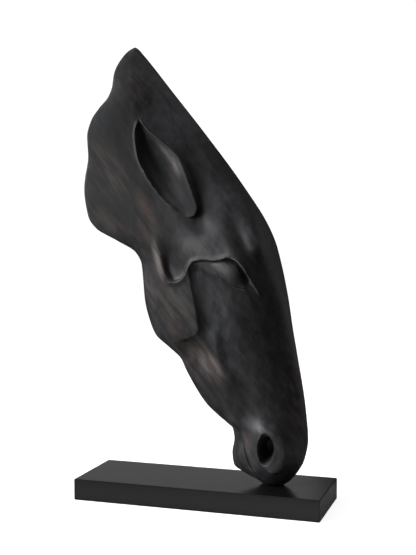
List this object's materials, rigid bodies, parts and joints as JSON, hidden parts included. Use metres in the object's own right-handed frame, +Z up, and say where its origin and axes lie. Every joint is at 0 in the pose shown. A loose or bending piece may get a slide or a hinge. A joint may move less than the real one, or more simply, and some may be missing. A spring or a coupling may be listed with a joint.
{
  "type": "horse head sculpture on a base",
  "caption": "Stylised horse's head standing nose down on a flat rectangular base, with a laid-back hollow ear, closed eye and open nostril on each side.",
  "frame": {"origin": "middle of the base's underside, on the surface that the sculpture stands on", "axes": "+Z up, +X along the base towards the horse's forehead and muzzle, +Y across the base; the head is symmetric about the plane Y = 0"},
  "size_m": [0.331, 0.1142, 0.5994],
  "materials": {
    "dark_patina": "satin near-black patina over cast resin, with red-brown rubbed through on ridges and in streaks",
    "satin_black": "satin black paint"
  },
  "bodies": {
    "root": {"horse_head": "dark_patina", "base": "satin_black"}
  },
  "joints": []
}
